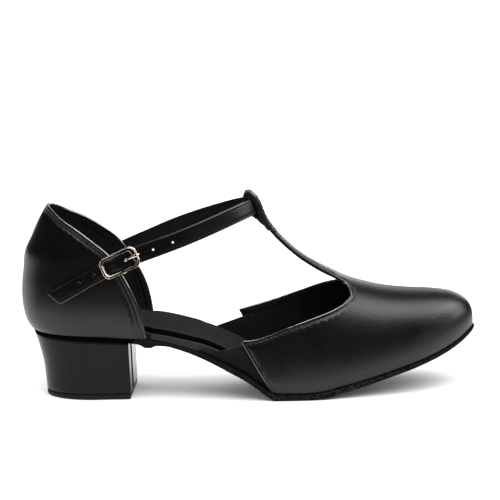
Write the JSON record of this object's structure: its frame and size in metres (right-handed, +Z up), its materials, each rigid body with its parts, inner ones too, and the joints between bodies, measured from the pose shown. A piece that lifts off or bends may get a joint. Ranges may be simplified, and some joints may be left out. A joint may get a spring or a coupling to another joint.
{
  "type": "t-strap dance shoe",
  "caption": "Right T-strap dance shoe in black leather with closed toe, open waist, ankle strap through a folded T-bar loop, metal buckle, low block heel and suede sole",
  "frame": {"origin": "bottom centre of the bounding box, on the floor that heel and forefoot stand on", "axes": "+X towards the toe, +Y towards the inner side of the foot, +Z up"},
  "size_m": [0.2483, 0.0782, 0.1106],
  "materials": {
    "upper_leather": "smooth black leather, satin, fine grain",
    "heel_leather": "smooth black leather stretched over the heel, satin to gloss",
    "board_leather": "thin black leather over the board's edge, satin",
    "sole_suede": "black split suede, matt nap",
    "sock_suede": "dark brown-black suede cloth over foam, matt",
    "lining_fabric": "dark lining cloth, matt",
    "top_piece_rubber": "hard black rubber, matt",
    "buckle_metal": "polished plated metal, warm silver"
  },
  "bodies": {
    "root": {"outsole": "sole_suede", "insole": "board_leather", "sock": "sock_suede", "heel_block": "heel_leather", "heel_top_piece": "top_piece_rubber", "counter": "upper_leather", "vamp": "upper_leather", "wing_outer": "lining_fabric", "wing_inner": "lining_fabric", "ankle_strap": "upper_leather", "buckle_frame": "buckle_metal", "buckle_prong": "buckle_metal"}
  },
  "joints": []
}
